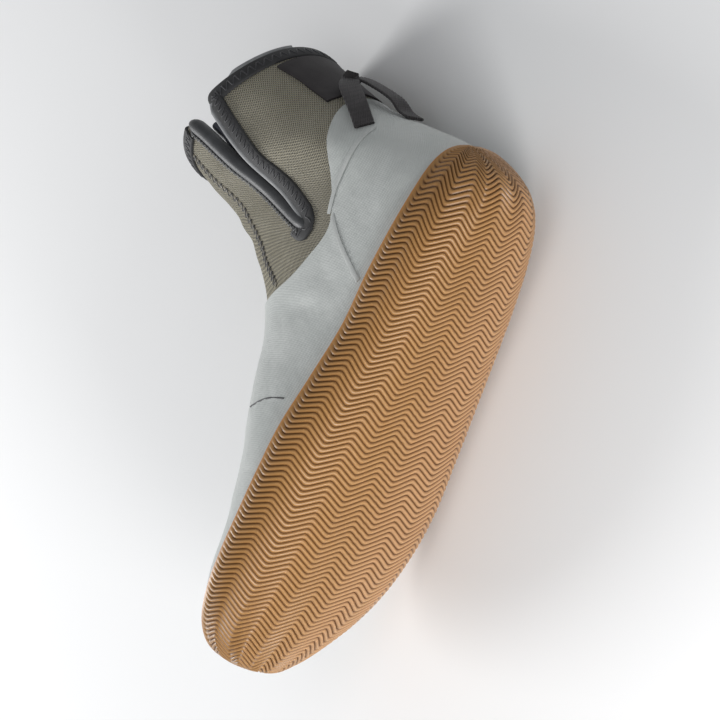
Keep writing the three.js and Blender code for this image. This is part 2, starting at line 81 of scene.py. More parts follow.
# Section tables: lengths are shares of the length, the ball width and the boot height
# The two end rows reach the rim, so that the cup is closed at the heel and the toe
SOLE = table(
    "y bottom rim lateral medial square",
    (-0.002, 0.202, 0.205, 0.050, 0.020, 2.0),
    (0.004, 0.110, 0.205, 0.145, 0.090, 2.1),
    (0.018, 0.054, 0.200, 0.230, 0.155, 2.3),
    (0.045, 0.019, 0.186, 0.305, 0.222, 2.5),
    (0.090, 0.003, 0.165, 0.362, 0.287, 2.7),
    (0.160, 0.000, 0.152, 0.405, 0.340, 2.8),
    (0.250, 0.000, 0.152, 0.438, 0.365, 2.8),
    (0.350, 0.006, 0.150, 0.462, 0.380, 2.8),
    (0.450, 0.008, 0.150, 0.482, 0.432, 2.8),
    (0.550, 0.003, 0.150, 0.495, 0.488, 2.8),
    (0.640, 0.000, 0.148, 0.500, 0.508, 2.8),
    (0.720, 0.003, 0.150, 0.480, 0.512, 2.8),
    (0.800, 0.015, 0.160, 0.440, 0.500, 2.7),
    (0.870, 0.034, 0.175, 0.372, 0.465, 2.6),
    (0.930, 0.058, 0.192, 0.278, 0.400, 2.5),
    (0.973, 0.084, 0.205, 0.190, 0.310, 2.4),
    (0.998, 0.115, 0.212, 0.100, 0.212, 2.3),
    (1.008, 0.212, 0.215, 0.010, 0.120, 2.0),
)

UPPER = table(
    "lowY lowZ topY topZ lateral medial crest wide low top",
    (0.994, 0.180, 0.994, 0.215, 0.01, 0.12, 0, 0.5, 2, 2),
    (0.987, 0.140, 0.987, 0.248, 0.08, 0.19, 0, 0.5, 2.2, 2),
    (0.963, 0.110, 0.963, 0.274, 0.17, 0.29, 0, 0.48, 2.3, 1.9),
    (0.918, 0.087, 0.918, 0.290, 0.27, 0.38, 0, 0.46, 2.4, 1.8),
    (0.850, 0.065, 0.850, 0.304, 0.37, 0.445, -0.01, 0.42, 2.6, 1.7),
    (0.770, 0.050, 0.770, 0.332, 0.43, 0.475, -0.02, 0.37, 2.7, 1.6),
    (0.690, 0.045, 0.690, 0.380, 0.465, 0.482, -0.04, 0.31, 2.7, 1.6),
    (0.600, 0.045, 0.615, 0.448, 0.470, 0.468, -0.06, 0.28, 2.7, 1.65),
    (0.510, 0.050, 0.550, 0.518, 0.460, 0.425, -0.07, 0.25, 2.6, 1.7),
    (0.420, 0.050, 0.500, 0.570, 0.445, 0.378, -0.07, 0.23, 2.5, 1.75),
    (0.330, 0.048, 0.463, 0.635, 0.425, 0.348, -0.05, 0.25, 2.4, 1.8),
    (0.240, 0.045, 0.430, 0.700, 0.400, 0.335, -0.04, 0.28, 2.4, 1.85),
    (0.150, 0.045, 0.411, 0.765, 0.385, 0.325, -0.03, 0.32, 2.6, 1.9),
    (0.080, 0.055, 0.394, 0.825, 0.375, 0.312, -0.02, 0.37, 2.8, 1.9),
    (0.035, 0.095, 0.388, 0.875, 0.355, 0.302, -0.01, 0.42, 2.8, 1.95),
    (0.016, 0.180, 0.378, 0.920, 0.345, 0.300, 0, 0.46, 2.6, 2),
    (0.018, 0.300, 0.370, 0.960, 0.335, 0.315, 0, 0.48, 2.3, 2),
    (0.034, 0.430, 0.362, 1.000, 0.330, 0.340, 0, 0.5, 2, 2),
    (0.052, 0.570, 0.355, 1.040, 0.330, 0.345, 0, 0.5, 2, 2),
    (0.055, 0.700, 0.350, 1.080, 0.330, 0.345, 0, 0.5, 2, 2),
    (0.054, 0.840, 0.345, 1.130, 0.330, 0.345, 0, 0.5, 2, 2),
    (0.053, 1.040, 0.338, 1.220, 0.330, 0.345, 0, 0.5, 2, 2),
)

COLLAR = table(
    "y z",
    (-0.200, 0.930),
    (0.000, 0.935),
    (0.080, 0.947),
    (0.190, 1.012),
    (0.275, 1.070),
    (0.360, 1.100),
    (0.500, 1.120),
)

SLIT = table(
    "rear front z",
    (0.183, 0.262, 1.10),
    (0.190, 0.258, 1.015),
    (0.212, 0.262, 0.885),
    (0.231, 0.267, 0.743),
    (0.241, 0.271, 0.603),
    (0.256, 0.270, 0.490),
)

SHELL_EDGE = table(
    "y z",
    (-0.050, 0.665),
    (0.045, 0.645),
    (0.100, 0.565),
    (0.165, 0.460),
    (0.230, 0.385),
    (0.300, 0.410),
    (0.360, 0.460),
    (0.440, 0.570),
    (0.520, 0.690),
)

LIP = table(
    "y z",
    (0.252, 1.055),
    (0.251, 0.980),
    (0.255, 0.870),
    (0.261, 0.740),
    (0.267, 0.600),
    (0.268, 0.520),
    (0.264, 0.478),
)

GUSSET = table(
    "z rear front fold",
    (0.470, 0.235, 0.295, 0.5),
    (0.560, 0.220, 0.300, 2),
    (0.650, 0.210, 0.302, 4),
    (0.740, 0.200, 0.302, 7),
    (0.830, 0.188, 0.302, 10),
    (0.920, 0.176, 0.302, 12),
    (0.990, 0.165, 0.302, 13),
)

TAPE = table(
    "x z",
    (-0.190, 0.670),
    (0.190, 0.670),
    (0.200, 0.800),
    (0.215, 0.892),
    (-0.215, 0.892),
    (-0.200, 0.800),
)

STRAP = table(
    "x y z wx wy wz",
    (-0.226, 0.062, 0.478, 0.72, -0.60, 0.20),
    (-0.190, 0.046, 0.560, 0.75, -0.60, 0.20),
    (-0.125, 0.038, 0.660, 0.85, -0.40, 0.25),
    (-0.055, 0.036, 0.705, 0.90, -0.10, 0.35),
    (-0.020, 0.028, 0.680, 0.95, 0.00, 0.25),
    (0.000, 0.024, 0.620, 1.00, 0.00, 0.10),
    (0.010, 0.023, 0.555, 1.00, 0.00, 0.05),
    (0.015, 0.031, 0.505, 1.00, 0.00, 0.00),
    (0.015, 0.029, 0.460, 1.00, 0.00, 0.00),
)

def column(rows, key, t):
    """Catmull-Rom reading of a table column at t from 0 to 1."""
    v = rows[key]
    last = len(v) - 1
    at = np.clip(t, 0, 1) * last
    i = np.minimum(at.astype(int), last - 1)
    f = at - i
    a, b = v[np.maximum(i - 1, 0)], v[i]
    c, d = v[np.minimum(i + 1, last)], v[np.minimum(i + 2, last)]
    return b + f * (c - a + f * (2 * a - 5 * b + 4 * c - d + f * (3 * (b - c) + d - a))) / 2


def power(value, exponent):
    return np.sign(value) * np.abs(value) ** exponent


def unit(v):
    return v / np.maximum(np.linalg.norm(v, axis=-1, keepdims=True), 1e-9)


UP = -unit(DOWN)
TOE = unit(np.array([0, 1, 0]) - UP * UP[1])
ACROSS = np.cross(TOE, UP)
LAY = np.array([ACROSS, TOE, UP])


def place(points):
    """Shoe frame in millimetres to row frame in metres, resting on the floor."""
    row = np.asarray(points, float) @ LAY.T + SHOE_ORIGIN
    row[..., 2] = np.maximum(row[..., 2], FLOOR_CLEAR)
    return row / 1000


# The upper's outer face
def upper_point(t, turn):
    t, turn = np.broadcast_arrays(np.asarray(t, float), np.asarray(turn, float))
    lateral, medial = column(UPPER, "lateral", t) * BALL_WIDTH, column(UPPER, "medial", t) * BALL_WIDTH
    wide = column(UPPER, "wide", t)
    up = np.cos(turn) >= 0
    bend = 2 / np.where(up, column(UPPER, "top", t), column(UPPER, "low", t))
    share = wide + np.where(up, 1 - wide, wide) * power(np.cos(turn), bend)
    lean = column(UPPER, "crest", t) * BALL_WIDTH * np.maximum(0, (share - wide) / (1 - wide))
    low_y, top_y = column(UPPER, "lowY", t), column(UPPER, "topY", t)
    low_z, top_z = column(UPPER, "lowZ", t), column(UPPER, "topZ", t)
    x = (lateral - medial) / 2 + (lateral + medial) / 2 * power(np.sin(turn), bend) + lean
    y = (low_y + (top_y - low_y) * share) * LENGTH
    z = (low_z + (top_z - low_z) * share) * HEIGHT
    return np.stack([x, y, z], -1)


def upper_frame(t, turn):
    """Points and outward normals of the upper's outer face."""
    t, turn = np.broadcast_arrays(np.asarray(t, float), np.asarray(turn, float))
    step_t, step_turn = 0.006, 0.03
    along = upper_point(np.minimum(t + step_t, 1), turn) - upper_point(np.maximum(t - step_t, 0), turn)
    around = upper_point(t, turn + step_turn) - upper_point(t, turn - step_turn)
    return upper_point(t, turn), unit(np.cross(along, around))


def locate(y, z, side):
    """Section and turn of the face at a place in the side view, side 1 outer and -1 inner."""
    y, z = np.asarray(y, float), np.asarray(z, float)
    low, high = np.full(y.shape, FIRST_SECTION), np.ones(y.shape)
    for _ in range(30):
        t = (low + high) / 2
        low_y, low_z = column(UPPER, "lowY", t) * LENGTH, column(UPPER, "lowZ", t) * HEIGHT
        run_y = column(UPPER, "topY", t) * LENGTH - low_y
        run_z = column(UPPER, "topZ", t) * HEIGHT - low_z
        above = run_y * (z - low_z) - run_z * (y - low_y) > 0
        low, high = np.where(above, t, low), np.where(above, high, t)
    t = low
    low_y, top_y = column(UPPER, "lowY", t) * LENGTH, column(UPPER, "topY", t) * LENGTH
    low_z, top_z = column(UPPER, "lowZ", t) * HEIGHT, column(UPPER, "topZ", t) * HEIGHT
    run = (top_y - low_y) ** 2 + (top_z - low_z) ** 2
    share = ((y - low_y) * (top_y - low_y) + (z - low_z) * (top_z - low_z)) / run
    wide = column(UPPER, "wide", t)
    up = share >= wide
    reach = np.clip(np.where(up, (share - wide) / (1 - wide), (wide - share) / wide), 0, 1)
    bend = np.where(up, column(UPPER, "top", t), column(UPPER, "low", t)) / 2
    turn = np.arccos(reach**bend * np.where(up, 1, -1))
    return t, side * turn


def side_curve(rows, count, key="y"):
    share = np.linspace(0, 1, count)
    return np.stack([column(rows, key, share) * LENGTH, column(rows, "z", share) * HEIGHT], -1)


# Creases and seams of the foot shell and the shaft, placed on the inner side: places in
# the side view, the height of the ridge or the depth of the trough, and its half width
CREASES = (
    (((18, 89), (30, 87), (42, 86), (53, 85), (65, 81)), 0.55, 1.6),
    (((64, 78), (69, 69), (74, 58), (78, 47), (82, 37)), 0.6, 1.6),
    (((20, 112), (27, 102), (33, 96)), -0.9, 4.0),
    (((28, 122), (36, 112), (44, 99)), -0.7, 3.5),
    (((14, 74), (24, 68), (36, 62), (48, 58)), -0.7, 5.0),
    (((16, 60), (28, 54), (42, 50), (52, 44)), 0.5, 4.0),
    (((86, 78), (90, 66), (92, 52), (90, 42)), -0.6, 4.0),
    (((104, 84), (104, 70), (101, 56), (98, 44)), 0.5, 4.5),
    (((120, 92), (118, 78), (112, 62), (108, 50)), -0.8, 4.5),
    (((136, 92), (131, 78), (124, 64)), 0.6, 4.0),
    (((173, 70), (167, 63), (160, 53), (155, 42)), -0.8, 1.3),
    (((150, 84), (146, 72), (140, 60)), -0.6, 4.0),
    (((196, 68), (190, 58), (186, 48)), -0.6, 5.0),
    (((222, 60), (216, 50), (212, 42)), 0.5, 5.0),
    (((104, 200), (108, 184), (112, 170)), -0.9, 4.5),
    (((112, 176), (104, 166), (96, 158)), -0.9, 4.5),
    (((122, 140), (110, 134), (98, 128)), -1.0, 5.0),
    (((48, 180), (51, 160), (50, 140)), -0.7, 6.0),
    (((40, 170), (34, 156), (32, 140)), 0.7, 6.0),
    (((56, 132), (48, 124), (42, 116)), -0.8, 5.0),
)


# Creases that the shell's two seams and the toe panel's edge lie on
SEAM_CREASES = (0, 1)
PANEL_CREASE = 10


def crease_points(places):
    """A crease's line on the inner face, close enough set to measure from."""
    knots = np.array(places, float)
    share = np.linspace(0, 1, 24)
    ends = {"y": knots[:, 0], "z": knots[:, 1]}
    y, z = column(ends, "y", share), column(ends, "z", share)
    t, turn = locate(y, z, -1)
    return upper_point(t, turn)


def relief(points):
    """Height of the creases at points on the face."""
    flat = points.reshape(-1, 3)
    total = np.zeros(len(flat))
    for places, height, half in CREASES:
        line = crease_points(places)
        near = np.full(len(flat), 1e9)
        for p in line:
            near = np.minimum(near, ((flat - p) ** 2).sum(1))
        ends = np.minimum(
            np.linalg.norm(flat - line[0], axis=1), np.linalg.norm(flat - line[-1], axis=1)
        )
        fade = np.clip(ends / (3 * half), 0.25, 1)
        total += height * np.exp(-near / half**2) * fade
    sway = np.sin(flat[:, 1] / 9.5 + 1.7 * np.sin(flat[:, 2] / 13))
    soft = sway * np.sin(flat[:, 2] / 11 + flat[:, 0] / 17)
    return (total + 0.22 * soft).reshape(points.shape[:-1])


# Meshes
def add_mesh(name, points, faces, smooth_angle=40):
    mesh = bpy.data.meshes.new(name)
    mesh.from_pydata(place(points).tolist(), [], faces)
    mesh.update()
    piece = bpy.data.objects.new(name, mesh)
    bpy.context.collection.objects.link(piece)
    shade(piece, smooth_angle)
    return piece


def shade(piece, smooth_angle):
    mesh = piece.data
    mesh.shade_smooth()
    mesh.set_sharp_from_angle(angle=math.radians(smooth_angle))


def loft_faces(rings, count, start=0, flip=False, closed=True, caps=True):
    """Quads over rings of points, with a polygon at both ends."""
    faces = []
    span = count if closed else count - 1
    for i in range(rings - 1):
        for k in range(span):
            a, b = start + i * count + k, start + i * count + (k + 1) % count
            quad = (a, b, b + count, a + count)
            faces.append(quad[::-1] if flip else quad)
    if caps:
        first = list(range(start, start + count))
        final = [start + (rings - 1) * count + k for k in range(count)]
        faces.append(tuple(first if flip else first[::-1]))
        faces.append(tuple(final[::-1] if flip else final))
    return faces


def add_loft(name, rings, flip=False, smooth_angle=40):
    rings = np.asarray(rings, float)
    faces = loft_faces(rings.shape[0], rings.shape[1], flip=flip)
    return add_mesh(name, rings.reshape(-1, 3), faces, smooth_angle)


STATIONS = 130
AROUND = 144


def even_turns(t, count):
    """Turns that divide a section's outline evenly."""
    turns = np.linspace(0, 2 * np.pi, 721)
    outline = upper_point(t, turns)
    run = np.concatenate([[0], np.cumsum(np.linalg.norm(np.diff(outline, axis=0), axis=1))])
    return np.interp(np.arange(count) / count * run[-1], run, turns)


SKIN_T = np.linspace(0, 1, STATIONS + 1)
SKIN_TURN = np.array([even_turns(t, AROUND) for t in SKIN_T])
SKIN_POINT, SKIN_NORMAL = upper_frame(SKIN_T[:, None], SKIN_TURN)
SKIN_RELIEF = relief(SKIN_POINT)


def skin_rings(offset):
    return SKIN_POINT + SKIN_NORMAL * (offset + SKIN_RELIEF)[..., None]


def add_wall(name, inner, outer):
    """Closed double skin between two offsets of the upper's face."""
    rings = [skin_rings(outer), skin_rings(inner)]
    count, size = STATIONS + 1, (STATIONS + 1) * AROUND
    faces = loft_faces(count, AROUND, 0, flip=True) + loft_faces(count, AROUND, size)
    return add_mesh(name, np.concatenate([r.reshape(-1, 3) for r in rings]), faces)


def add_prism(name, outline, low_x, high_x):
    """Flat shape of the side view carried from one X to another."""
    points = [(x, y, z) for x in (low_x, high_x) for y, z in outline]
    count = len(outline)
    faces = [tuple(range(count))[::-1], tuple(range(count, 2 * count))]
    faces += [(k, (k + 1) % count, count + (k + 1) % count, count + k) for k in range(count)]
    mesh = bpy.data.meshes.new(name)
    rows = np.array(points, float) @ LAY.T + SHOE_ORIGIN
    mesh.from_pydata((rows / 1000).tolist(), [], faces)
    mesh.update()
    prism = bpy.data.objects.new(name, mesh)
    bpy.context.collection.objects.link(prism)
    make_outward(prism)
    return prism


def make_outward(piece):
    bm = bmesh.new()
    bm.from_mesh(piece.data)
    bmesh.ops.recalc_face_normals(bm, faces=bm.faces)
    bm.to_mesh(piece.data)
    bm.free()


def cut(piece, cutter, operation):
    """Boolean of a piece with a cutter, applied to its mesh. The cutter is used up."""
    tool = piece.modifiers.new("cut", "BOOLEAN")
    tool.operation = operation
    tool.solver = "EXACT"
    tool.object = cutter
    depsgraph = bpy.context.evaluated_depsgraph_get()
    made = bpy.data.meshes.new_from_object(piece.evaluated_get(depsgraph))
    piece.modifiers.clear()
    old = piece.data
    piece.data = made
    made.name = piece.name
    bpy.data.meshes.remove(old)
    bpy.data.objects.remove(cutter)
    shade(piece, 40)


def slit_outline(drop):
    rear = side_curve(SLIT, 24, "rear")
    front = side_curve(SLIT, 24, "front")
    middle = (rear[-1, 0] + front[-1, 0]) / 2
    radius = (front[-1, 0] - rear[-1, 0]) / 2 + drop
    turns = np.linspace(0, np.pi, 12)[1:-1]
    bow = np.stack([middle - radius * np.cos(turns), rear[-1, 1] - radius * np.sin(turns)], -1)
    return np.concatenate([rear - [drop, 0], bow, (front + [drop, 0])[::-1]])


def collar_outline(drop):
    line = side_curve(COLLAR, 40) - [0, drop]
    return np.concatenate([line, [[FAR, FAR], [-FAR, FAR]]])


def bed_line(rise):
    y = UPPER["lowY"][:BED_ROWS] * LENGTH
    z = UPPER["lowZ"][:BED_ROWS] * HEIGHT + rise
    return np.stack([y, z], -1)


def make_upper():
    upper = add_wall("upper_knit", -WALL, 0)
    bed = bed_line(BED_RISE)
    below = [[-FAR, -FAR], [FAR, -FAR], [FAR, bed[0, 1]], *bed, [-FAR, bed[-1, 1]]]
    cut(upper, add_prism("bed", below, -FAR, FAR), "DIFFERENCE")
    cut(upper, add_prism("collar", collar_outline(0), -FAR, FAR), "DIFFERENCE")
    cut(upper, add_prism("slit", slit_outline(0), -FAR, MIDLINE), "DIFFERENCE")
    return upper


def make_shell():
    shell = add_wall("foot_shell_cloth", GAP, GAP + SHELL)
    edge = side_curve(SHELL_EDGE, 60)
    rim_y = SOLE["y"] * LENGTH
    tuck = SOLE["rim"] * HEIGHT - TUCK
    base = [[-FAR, tuck[0]], *zip(rim_y, tuck), [FAR, tuck[-1]]]
    zone = [*base, [FAR, edge[-1, 1]], *edge[::-1], [-FAR, edge[0, 1]]]
    cut(shell, add_prism("zone", zone, -FAR, FAR), "INTERSECT")
    return shell


# Sweeps of a profile along a line on the face
COLLAR_FROM = 0.6


def collar_section(turn):
    """Section at which the collar's line meets each turn."""
    line = side_curve(COLLAR, 200)
    low, high = np.full(turn.shape, COLLAR_FROM), np.ones(turn.shape)
    for _ in range(30):
        t = (low + high) / 2
        p = upper_point(t, turn)
        under = p[:, 2] < np.interp(p[:, 1], line[:, 0], line[:, 1])
        low, high = np.where(under, t, low), np.where(under, high, t)
    return low


def even_line(points, normals, step, rounds):
    """The line with even steps, its corners softened."""
    for _ in range(2):
        run = np.concatenate([[0], np.cumsum(np.linalg.norm(np.diff(points, axis=0), axis=1))])
        at = np.linspace(0, run[-1], max(int(run[-1] / step), 4))
        points = np.stack([np.interp(at, run, points[:, i]) for i in range(3)], -1)
        normals = unit(np.stack([np.interp(at, run, normals[:, i]) for i in range(3)], -1))
        for _ in range(rounds):
            points[1:-1] = (points[:-2] + 2 * points[1:-1] + points[2:]) / 4
            normals[1:-1] = (normals[:-2] + 2 * normals[1:-1] + normals[2:]) / 4
    return points, unit(normals)


def opening_line():
    """The bound edge: the collar from the lip round the back, down the slit and round its foot."""
    front = side_curve(SLIT, 60, "front")
    rear = side_curve(SLIT, 60, "rear")
    collar = side_curve(COLLAR, 200)
    level = np.interp(front[:, 0], collar[:, 0], collar[:, 1])
    at_front = front[np.argmin(np.abs(front[:, 1] - level))] + [2, 0]
    level = np.interp(rear[:, 0], collar[:, 0], collar[:, 1])
    at_rear = rear[np.argmin(np.abs(rear[:, 1] - level))]
    _, turn = locate(*np.array([at_front, at_rear]).T, -1)
    turns = np.linspace(turn[0], 2 * np.pi + turn[1], 240)
    sections = collar_section(turns)
    points, normals = upper_frame(sections, turns)
    rest = slit_outline(0)
    rest = rest[rest[:, 1] < at_rear[1] - 1]
    rest = rest[: 24 + 8]
    t, turn = locate(rest[:, 0], rest[:, 1], -1)
    more, more_normals = upper_frame(t, turn)
    return even_line(np.concatenate([points, more]), np.concatenate([normals, more_normals]), 1.5, 3)


SEAM_STEP = 1.2


def face_line(places):
    """A line on the face through places of the side view."""
    knots = np.array(places, float)
    share = np.linspace(0, 1, 80)
    ends = {"y": knots[:, 0], "z": knots[:, 1]}
    t, turn = locate(column(ends, "y", share), column(ends, "z", share), -1)
    points, normals = upper_frame(t, turn)
    lift = relief(points)
    return even_line(points + normals * lift[:, None], normals, SEAM_STEP, 2)


def line_frames(points, normals):
    along = unit(np.gradient(points, axis=0))
    side = unit(np.cross(normals, along))
    return along, side


def add_sweep(name, points, normals, profile, taper=None, smooth_angle=50):
    """Closed profile of (side, height) pairs carried along a line on the face."""
    _, side = line_frames(points, normals)
    profile = np.array(profile, float)
    size = np.ones(len(points)) if taper is None else taper
    rings = (
        points[:, None]
        + side[:, None] * (profile[None, :, :1] * size[:, None, None])
        + normals[:, None] * (profile[None, :, 1:] * size[:, None, None])
    )
    piece = add_loft(name, rings, smooth_angle=smooth_angle)
    make_outward(piece)
    return piece


def round_profile(wide, deep, count=12, offset=(0, 0)):
    turns = np.arange(count) / count * 2 * np.pi
    return np.stack([offset[0] + wide * np.cos(turns), offset[1] + deep * np.sin(turns)], -1)


def add_stitches(name, points, normals, side_from, side_to, lift, pitch, thick):
    """Thread lying on the line as a zigzag."""
    _, side = line_frames(points, normals)
    run = np.concatenate([[0], np.cumsum(np.linalg.norm(np.diff(points, axis=0), axis=1))])
    count = int(run[-1] / pitch)
    rings, faces, total = [], [], 0
    profile = round_profile(thick, thick * 0.8, 6)
    for i in range(count):
        ends = ((i + 0.06) * pitch, (i + 0.94) * pitch)
        sides = (side_from, side_to) if i % 2 == 0 else (side_to, side_from)
        rows = []
        for share in (0, 0.12, 0.5, 0.88, 1):
            at = ends[0] + (ends[1] - ends[0]) * share
            lines = (points, normals, side)
            p, n, s = (np.array([np.interp(at, run, v[:, k]) for k in range(3)]) for v in lines)
            sink = -0.5 * thick if share in (0, 1) else thick * 0.6
            rows.append((p + s * (sides[0] + (sides[1] - sides[0]) * share) + n * (lift + sink), n, s))
        line = np.array([r[0] for r in rows])
        along = unit(np.gradient(line, axis=0))
        for p, a, (_, n, _) in zip(line, along, rows):
            across = unit(np.cross(a, n))
            rings.append(p + across[None] * profile[:, :1] + n[None] * profile[:, 1:])
        faces += loft_faces(5, 6, total, flip=True)
        total += 30
    return add_mesh(name, np.concatenate(rings), faces, 80)


BIND_OUT = GAP + BINDING
BIND_IN = -WALL - GAP - BINDING
PIPING_TOP = 195


def bind_profile():
    turns = np.linspace(0, np.pi, 9)
    nose = [(-BIND_OUT * np.sin(a) - 0.3, -WALL / 2 + (WALL / 2 + BIND_OUT) * np.cos(a)) for a in turns]
    width = BINDING_WIDTH
    top = [(width, GAP + 0.1), (width - 0.2, BIND_OUT - 0.4), (width - 0.7, BIND_OUT - 0.05)]
    top.append((width / 2, BIND_OUT + 0.1))
    back = [(width - 0.7, BIND_IN), (width, BIND_IN + 0.5), (width, -WALL - GAP)]
    inside = [(0, -WALL - GAP), (-0.25, -WALL / 2), (0, GAP)]
    return [*top, *nose, *back, *inside]


def make_binding():
    points, normals = opening_line()
    lift = relief(points) * 0.5
    points = points + normals * lift[:, None]
    _, side = line_frames(points, normals)
    middle = len(points) // 3
    sign = -1 if side[middle, 2] > 0 else 1
    profile = [(sign * w, h) for w, h in bind_profile()]
    binding = add_sweep("binding_tape", points, normals, profile)
    thread = add_stitches("binding_thread", points, normals, sign * 1.6, sign * 6.6, BIND_OUT, 2.2, 0.34)
    slit = points[:, 2] < PIPING_TOP
    slit &= normals[:, 0] < -0.3
    rolled = round_profile(1.9, 2.0, 12, (-sign * 1.7, 0.0))
    piping = add_sweep("slit_piping", points[slit], normals[slit], rolled)
    return binding, thread, piping


def lip_line():
    share = np.linspace(0, 1, 90)
    y, z = column(LIP, "y", share) * LENGTH, column(LIP, "z", share) * HEIGHT
    t, turn = locate(y, z, -1)
    points, normals = upper_frame(t, turn)
    return even_line(points, normals, 1.2, 3)


def make_lip():
    points, normals = lip_line()
    share = np.linspace(0, 1, len(points))
    ends = np.minimum(share, 1 - share) * 14
    taper = np.sqrt(np.clip(1 - (1 - np.clip(ends, 0, 1)) ** 2, 0.03, 1))
    rolled = round_profile(3.9, 4.2, 20, (0.4, -0.8))
    roll = add_sweep("lip_roll_cloth", points, normals, rolled, taper, smooth_angle=80)
    _, side = line_frames(points, normals)
    forward = 1 if side[len(points) // 2, 1] > 0 else -1
    welt = add_sweep("lip_welt", points, normals, round_profile(1.0, 0.8, 8, (forward * 4.2, 0.9)), taper)
    near, far = forward * 3.2, forward * 5.2
    thread = add_stitches("lip_thread", points[4:-4], normals[4:-4], near, far, 1.9, 1.5, 0.26)
    return roll, welt, thread


GUSSET_INSET = 5.6
GUSSET_SHEET = 1.0
CRINKLE = 0.5


def make_gusset():
    rows, across = 40, 70
    shares = np.linspace(0, 1, rows)
    outer, inner = [], []
    for s in shares:
        t = np.array([s])
        rear, front = column(GUSSET, "rear", t)[0] * LENGTH, column(GUSSET, "front", t)[0] * LENGTH
        z, fold = column(GUSSET, "z", t)[0] * HEIGHT, column(GUSSET, "fold", t)[0]
        k = np.linspace(0, 1, across)
        y = rear + (front - rear) * k
        section, turn = locate(y, np.full(across, z), -1)
        p = upper_point(section, turn)
        crinkle = CRINKLE * np.sin(z / 3.1 + 6 * k) * np.sin(np.pi * k)
        p[:, 0] += GUSSET_INSET + fold * np.sin(2 * np.pi * k) ** 2 + crinkle
        outer.append(p)
        inner.append(p[::-1] + [GUSSET_SHEET, 0, 0])
    rings = np.concatenate([np.array(outer), np.array(inner)], 1)
    sheet = add_loft("gusset_sheet", rings, smooth_angle=60)
    make_outward(sheet)
    return sheet


TAPE_MIDDLE = 160
TAPE_THICK = 1.0
TAPE_HALF = (0.19, 0.2, 0.215)


def make_tape(skin):
    """The wide tape down the back seam, laid on the upper from behind."""
    rows, across = 30, 36
    z_low, z_high = TAPE["z"].min() * HEIGHT, TAPE["z"].max() * HEIGHT
    outer, inner = [], []
    for z in np.linspace(z_low, z_high, rows):
        half = np.interp(z, [z_low, TAPE_MIDDLE, z_high], TAPE_HALF) * BALL_WIDTH
        x = np.linspace(-half, half, across)
        y = np.array([skin_depth(skin, a, z) for a in x])
        p = np.stack([x, y, np.full(across, z)], -1)
        n = unit(np.cross(np.gradient(p, axis=0), [0, 0, 1]))
        n[n[:, 1] > 0] *= -1
        bead = 0.25 * np.exp(-((np.abs(x) - half + 1.6) ** 2) / 0.6)
        outer.append(p + n * (GAP + TAPE_THICK + bead)[:, None])
        inner.append((p + n * GAP)[::-1])
    rings = np.concatenate([np.array(outer), np.array(inner)], 1)
    tape = add_loft("back_seam_tape", rings, smooth_angle=50)
    make_outward(tape)
    return tape


BEHIND = 60.0


def skin_depth(skin, x, z):
    """How far from the heel the upper stands at a place seen from behind."""
    start = np.array([x, -BEHIND, z]) @ LAY.T + SHOE_ORIGIN
    hit = skin.ray_cast(Vector(start / 1000), Vector(LAY @ np.array([0, 1.0, 0])))[0]
    back = (np.array(hit) * 1000 - SHOE_ORIGIN) @ LAY
    return back[1]


STRAP_STEPS = 110
STRAP_HALF_WIDTH = 5.5
STRAP_HALF_THICK = 0.85


def strap_line():
    share = np.linspace(0, 1, STRAP_STEPS)
    sizes = {"x": BALL_WIDTH, "y": LENGTH, "z": HEIGHT}
    points = np.stack([column(STRAP, key, share) * size for key, size in sizes.items()], -1)
    wide = np.stack([column(STRAP, k, share) for k in ("wx", "wy", "wz")], -1)
    along = unit(np.gradient(points, axis=0))
    wide = unit(wide - along * (wide * along).sum(1, keepdims=True))
    return points, wide, np.cross(along, wide)


def make_strap():
    points, wide, thick = strap_line()
    outline = [(1, 0.3), (0.93, 0.85), (0.8, 1), (0, 0.9), (-0.8, 1), (-0.93, 0.85), (-1, 0.3)]
    outline += [(w, -h) for w, h in outline[::-1]]
    rib = 1 + 0.16 * np.sin(np.arange(STRAP_STEPS) * 2.4)
    rings = [
        p + np.array([w * STRAP_HALF_WIDTH * a + h * STRAP_HALF_THICK * r * b for a, b in outline])
        for p, w, h, r in zip(points, wide, thick, rib)
    ]
    strap = add_loft("pull_strap_webbing", rings, smooth_angle=35)
    make_outward(strap)
    return strap


# The cupped sole with its zigzag ribs
RIB_PITCH = 3.1
RIB_ROWS = 6
RIB_DEPTH = 1.0
RIB_PROFILE = (-1.0, -0.42, -0.06, 0.0, -0.06, -0.42)
ZIGZAGS = 5.8
ZIGZAG_REACH = 3.2
SOLE_ACROSS = 104
SOLE_WALL = 2.4
RIM_BAND = 1.6
CALM_END = 9
# Line inside the foot that the sole's faces look away from
CORE_X, CORE_Z = -2.0, 60.0
CORE_Y = (40, 262)


def sole_point(s, turn):
    s, turn = np.broadcast_arrays(np.asarray(s, float), np.asarray(turn, float))
    lateral, medial = column(SOLE, "lateral", s) * BALL_WIDTH, column(SOLE, "medial", s) * BALL_WIDTH
    bottom, rim = column(SOLE, "bottom", s) * HEIGHT, column(SOLE, "rim", s) * HEIGHT
    bend = 2 / column(SOLE, "square", s)
    x = (lateral - medial) / 2 + (lateral + medial) / 2 * power(np.sin(turn), bend)
    z = rim - (rim - bottom) * power(np.cos(turn), bend)
    return np.stack([x, column(SOLE, "y", s) * LENGTH, z], -1)


def zigzag(share):
    """Rounded zigzag over the width, straight near the inner rim."""
    wave = np.arcsin(0.96 * np.sin(2 * np.pi * (ZIGZAGS * share + 0.1))) / np.arcsin(0.96)
    return wave * np.clip(share / 0.05, 0, 1)


